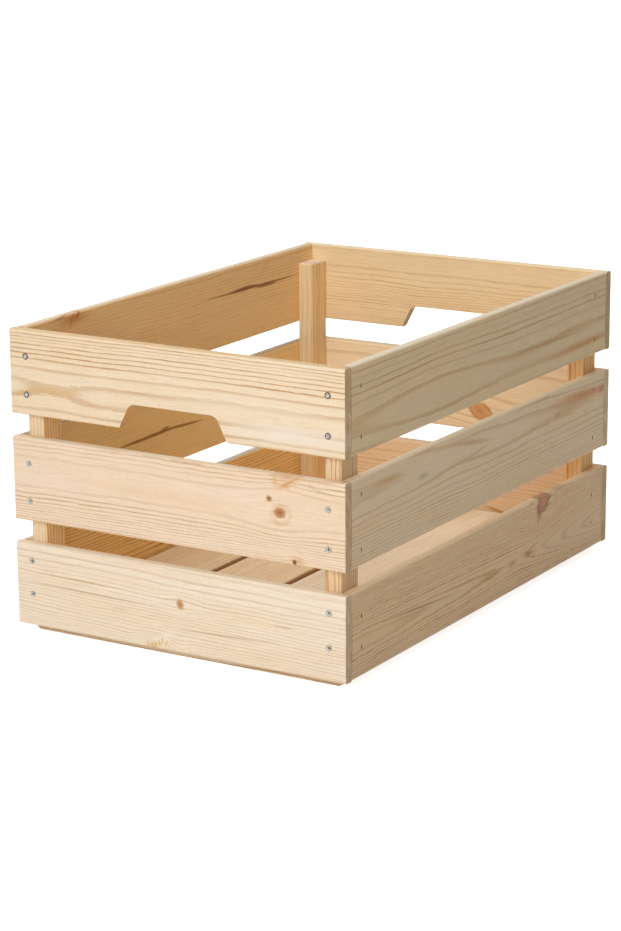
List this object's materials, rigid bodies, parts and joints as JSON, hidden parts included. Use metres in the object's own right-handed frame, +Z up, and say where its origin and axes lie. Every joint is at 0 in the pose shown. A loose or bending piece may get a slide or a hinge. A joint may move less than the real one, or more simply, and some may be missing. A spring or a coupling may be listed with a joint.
{
  "type": "slatted wooden crate",
  "caption": "Open slatted pine crate: board walls screwed to inner corner posts, a slatted floor on cross battens and a trapezoid hand-hold in each end, for carrying and stacking.",
  "frame": {"origin": "on the ground, under the centre of the crate", "axes": "+X along the crate from the front end to the rear end, +Y across it, +Z up"},
  "size_m": [0.46, 0.31, 0.2525],
  "materials": {
    "pine": "planed, unfinished",
    "zinc_screw": "zinc plated",
    "brad_steel": "dull wire"
  },
  "bodies": {
    "root": {"front_bottom_board": "pine", "rear_bottom_board": "pine", "left_bottom_board": "pine", "right_bottom_board": "pine", "front_middle_board": "pine", "rear_middle_board": "pine", "left_middle_board": "pine", "right_middle_board": "pine", "front_top_board": "pine", "rear_top_board": "pine", "left_top_board": "pine", "right_top_board": "pine", "front_left_post": "pine", "front_right_post": "pine", "rear_left_post": "pine", "rear_right_post": "pine", "floor_slat_1": "pine", "floor_slat_2": "pine", "floor_slat_3": "pine", "floor_slat_4": "pine", "front_batten": "pine", "rear_batten": "pine", "end_screws": "zinc_screw", "floor_screws": "zinc_screw", "side_brads": "brad_steel", "floor_brads": "brad_steel"}
  },
  "joints": []
}
